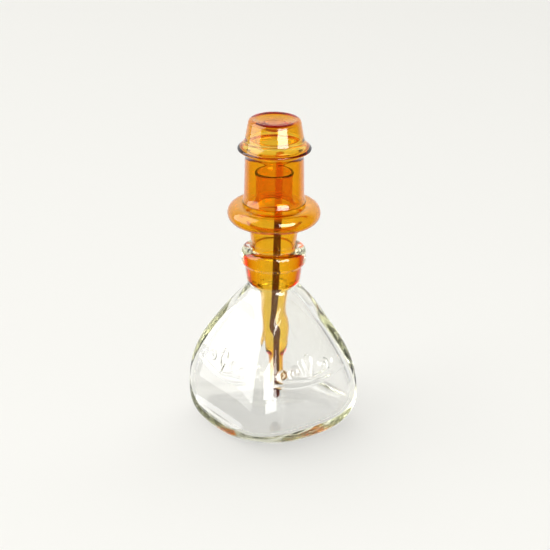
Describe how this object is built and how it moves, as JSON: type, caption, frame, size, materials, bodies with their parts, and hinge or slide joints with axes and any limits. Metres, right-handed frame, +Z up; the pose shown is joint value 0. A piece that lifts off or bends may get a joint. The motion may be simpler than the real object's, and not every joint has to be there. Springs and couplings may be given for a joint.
{
  "type": "ink bottle",
  "caption": "Square-sided clear glass bottle with a ground amber glass dropper stopper, a thin glass rod standing in it and an amber glass dust cap.",
  "frame": {"origin": "centre of the foot, on the surface that the bottle stands on", "axes": "+Z up along the neck's axis; the four faces look along +X, -X, +Y and -Y"},
  "size_m": [0.0472, 0.0472, 0.1035],
  "materials": {
    "clear_glass": "fire-polished, clear with a faint green cast in the thick corners",
    "amber_glass": "fire-polished, clear amber, darker where the wall is seen edge on",
    "dark_amber_glass": "fire-polished, dark amber"
  },
  "bodies": {
    "bottle": {"flask": "clear_glass"},
    "stopper": {"dropper_stopper": "amber_glass"},
    "rod": {"glass_rod": "dark_amber_glass"},
    "cap": {"dust_cap": "amber_glass"}
  },
  "joints": [
    {"name": "stopper_lift", "type": "slide", "parent": "bottle", "child": "stopper", "axis": [0, 0, 1], "range_m": [0, 0.06]},
    {"name": "rod_lift", "type": "slide", "parent": "stopper", "child": "rod", "axis": [0.0427, 0.0171, 0.9989], "range_m": [0, 0.085]},
    {"name": "cap_lift", "type": "slide", "parent": "rod", "child": "cap", "axis": [0, 0, 1], "range_m": [0, 0.035]}
  ]
}
